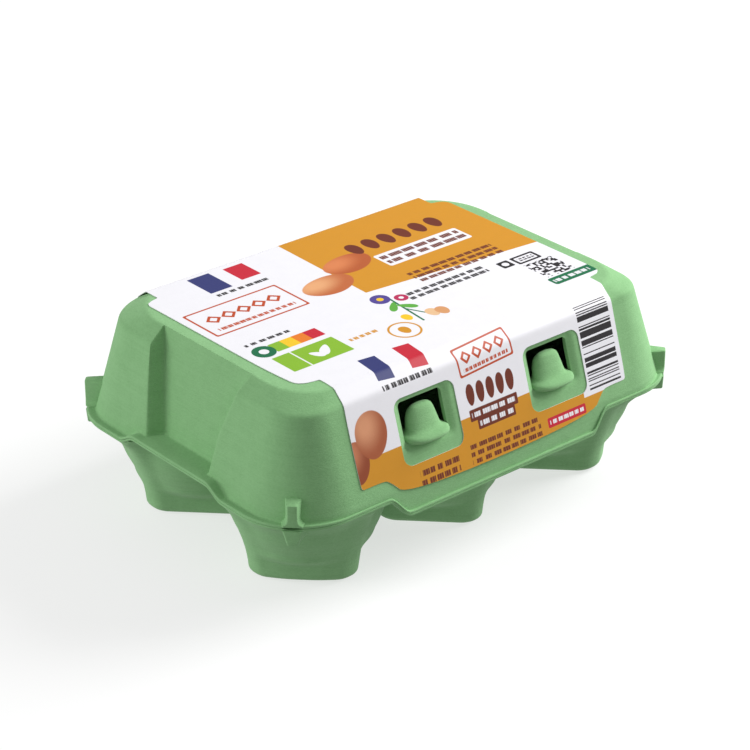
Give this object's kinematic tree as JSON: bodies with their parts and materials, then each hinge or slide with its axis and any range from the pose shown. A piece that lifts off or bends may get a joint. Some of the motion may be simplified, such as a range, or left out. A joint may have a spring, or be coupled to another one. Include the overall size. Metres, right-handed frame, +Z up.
{
  "type": "egg carton",
  "caption": "Shut moulded-pulp egg carton with cup-shaped feet, stacking lugs, locking buttons in the lid's front and a printed paper label over its top.",
  "frame": {"origin": "centre of the bounding box at the underside of the feet", "axes": "+X along the longer side from left to right as seen from the front, -Y towards the front with the locking buttons, +Z up"},
  "size_m": [0.1572, 0.111, 0.0612],
  "materials": {
    "pulp": "moulded paper pulp dyed light green, matt and slightly fibrous",
    "paper": "printed coated paper, satin, white with amber fields"
  },
  "bodies": {
    "root": {"carton": "pulp", "label": "paper"}
  },
  "joints": []
}
